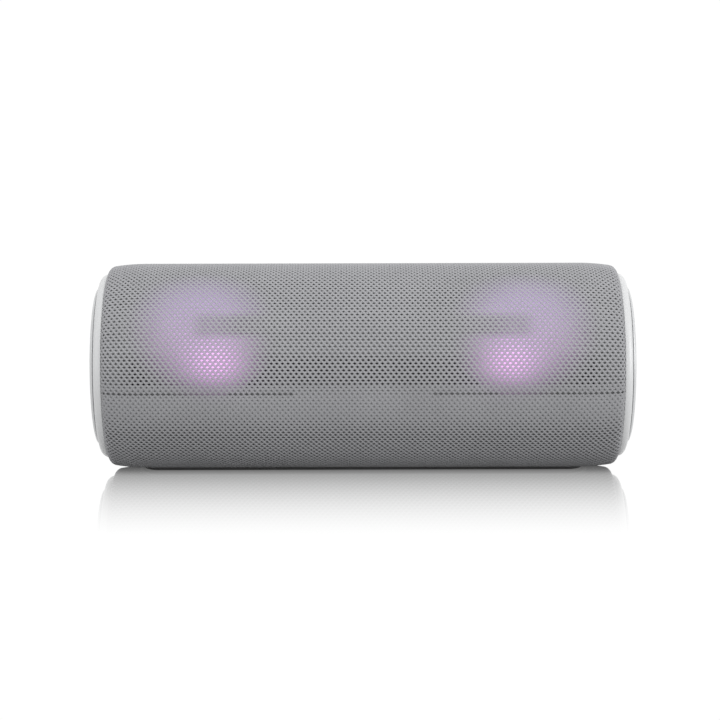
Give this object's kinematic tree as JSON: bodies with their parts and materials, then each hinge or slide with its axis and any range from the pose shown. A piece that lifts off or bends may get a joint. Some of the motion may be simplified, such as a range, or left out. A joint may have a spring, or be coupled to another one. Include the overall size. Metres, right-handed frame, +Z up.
{
  "type": "smart speaker",
  "caption": "Cylindrical portable smart speaker lying on its side, with a grey mesh fabric sleeve, pale end rings, passive radiator discs and C-shaped accent lights behind the fabric",
  "frame": {"origin": "on the surface the speaker stands on, under the middle of its length", "axes": "+X along the length to the user's right, the front faces -Y, +Z up"},
  "size_m": [0.234, 0.09, 0.091],
  "materials": {
    "mesh_fabric": "matte",
    "casing_plastic": "matte",
    "inner_plastic": "matte",
    "trim_plastic": "satin",
    "plate_plastic": "satin",
    "soft_rubber": "matte",
    "control_rubber": "matte",
    "steel": "satin",
    "ferrite": "matte",
    "spider_cloth": "matte",
    "cone_paper": "matte",
    "coil_copper": "satin",
    "clear_guide": "satin",
    "circuit_board": "satin",
    "cast_aluminium": "satin",
    "cell_wrap": "satin",
    "lead_wrap": "satin"
  },
  "bodies": {
    "root": {"amplifier_heat_sink": "cast_aluminium", "aux_socket": "inner_plastic", "baffle_panel": "inner_plastic", "base_foot": "soft_rubber", "battery_cells": "cell_wrap", "battery_cradle": "inner_plastic", "battery_lead": "lead_wrap", "board_screws": "steel", "charge_socket": "steel", "control_board": "circuit_board", "control_panel": "control_rubber", "driver_leads": "lead_wrap", "driver_screws": "steel", "fabric_sleeve": "mesh_fabric", "left_driver_basket": "steel", "left_driver_magnet": "ferrite", "left_driver_spider": "spider_cloth", "left_driver_surround": "soft_rubber", "left_driver_yoke": "steel", "left_end_ring": "trim_plastic", "left_led_board": "circuit_board", "left_light_guide": "clear_guide", "left_radiator_frame": "inner_plastic", "left_radiator_surround": "soft_rubber", "lower_shell": "casing_plastic", "main_board": "circuit_board", "microphones": "cast_aluminium", "port_board": "circuit_board", "port_panel": "inner_plastic", "radiator_screws": "steel", "right_driver_basket": "steel", "right_driver_magnet": "ferrite", "right_driver_spider": "spider_cloth", "right_driver_surround": "soft_rubber", "right_driver_yoke": "steel", "right_end_ring": "trim_plastic", "right_led_board": "circuit_board", "right_light_guide": "clear_guide", "right_radiator_frame": "inner_plastic", "right_radiator_surround": "soft_rubber", "shell_screws": "steel", "status_light_pipe": "clear_guide", "upper_shell": "casing_plastic"},
    "left_radiator": {"left_radiator_plate": "plate_plastic", "left_radiator_weight": "steel"},
    "left_cone": {"left_driver_cone": "cone_paper", "left_voice_coil": "coil_copper"},
    "right_radiator": {"right_radiator_plate": "plate_plastic", "right_radiator_weight": "steel"},
    "right_cone": {"right_driver_cone": "cone_paper", "right_voice_coil": "coil_copper"},
    "power_key": {"power_button": "control_rubber"},
    "pair_key": {"pair_button": "control_rubber"},
    "volume_down_key": {"volume_down_button": "control_rubber"},
    "play_key": {"play_button": "control_rubber"},
    "volume_up_key": {"volume_up_button": "control_rubber"},
    "voice_key": {"voice_button": "control_rubber"},
    "light_key": {"light_button": "control_rubber"},
    "flap": {"port_flap": "control_rubber"}
  },
  "joints": [
    {"name": "left_radiator_slide", "type": "slide", "parent": "root", "child": "left_radiator", "axis": [-1, 0, 0], "range_m": [-0.0025, 0.0025], "stiffness_N_per_m": 900, "deforming": ["left_radiator_surround"]},
    {"name": "left_cone_slide", "type": "slide", "parent": "root", "child": "left_cone", "axis": [0, -0.809, 0.5878], "range_m": [-0.0015, 0.0015], "stiffness_N_per_m": 400, "deforming": ["left_driver_surround", "left_driver_spider"]},
    {"name": "right_radiator_slide", "type": "slide", "parent": "root", "child": "right_radiator", "axis": [1, 0, 0], "range_m": [-0.0025, 0.0025], "stiffness_N_per_m": 900, "deforming": ["right_radiator_surround"]},
    {"name": "right_cone_slide", "type": "slide", "parent": "root", "child": "right_cone", "axis": [0, -0.809, 0.5878], "range_m": [-0.0015, 0.0015], "stiffness_N_per_m": 400, "deforming": ["right_driver_surround", "right_driver_spider"]},
    {"name": "power_press", "type": "slide", "parent": "root", "child": "power_key", "axis": [0, -0.4695, -0.8829], "range_m": [0, 0.0007], "stiffness_N_per_m": 400, "springref_m": -0.0003},
    {"name": "pair_press", "type": "slide", "parent": "root", "child": "pair_key", "axis": [0, -0.4695, -0.8829], "range_m": [0, 0.0007], "stiffness_N_per_m": 400, "springref_m": -0.0003},
    {"name": "volume_down_press", "type": "slide", "parent": "root", "child": "volume_down_key", "axis": [0, -0.4695, -0.8829], "range_m": [0, 0.0007], "stiffness_N_per_m": 400, "springref_m": -0.0003},
    {"name": "play_press", "type": "slide", "parent": "root", "child": "play_key", "axis": [0, -0.4695, -0.8829], "range_m": [0, 0.0007], "stiffness_N_per_m": 400, "springref_m": -0.0003},
    {"name": "volume_up_press", "type": "slide", "parent": "root", "child": "volume_up_key", "axis": [0, -0.4695, -0.8829], "range_m": [0, 0.0007], "stiffness_N_per_m": 400, "springref_m": -0.0003},
    {"name": "voice_press", "type": "slide", "parent": "root", "child": "voice_key", "axis": [0, -0.4695, -0.8829], "range_m": [0, 0.0007], "stiffness_N_per_m": 400, "springref_m": -0.0003},
    {"name": "light_press", "type": "slide", "parent": "root", "child": "light_key", "axis": [0, -0.4695, -0.8829], "range_m": [0, 0.0007], "stiffness_N_per_m": 400, "springref_m": -0.0003},
    {"name": "flap_hinge", "type": "hinge", "parent": "root", "child": "flap", "pos_m": [0, 0.0352, 0.01877], "axis": [-1, 0, 0], "range_deg": [0, 85]}
  ]
}
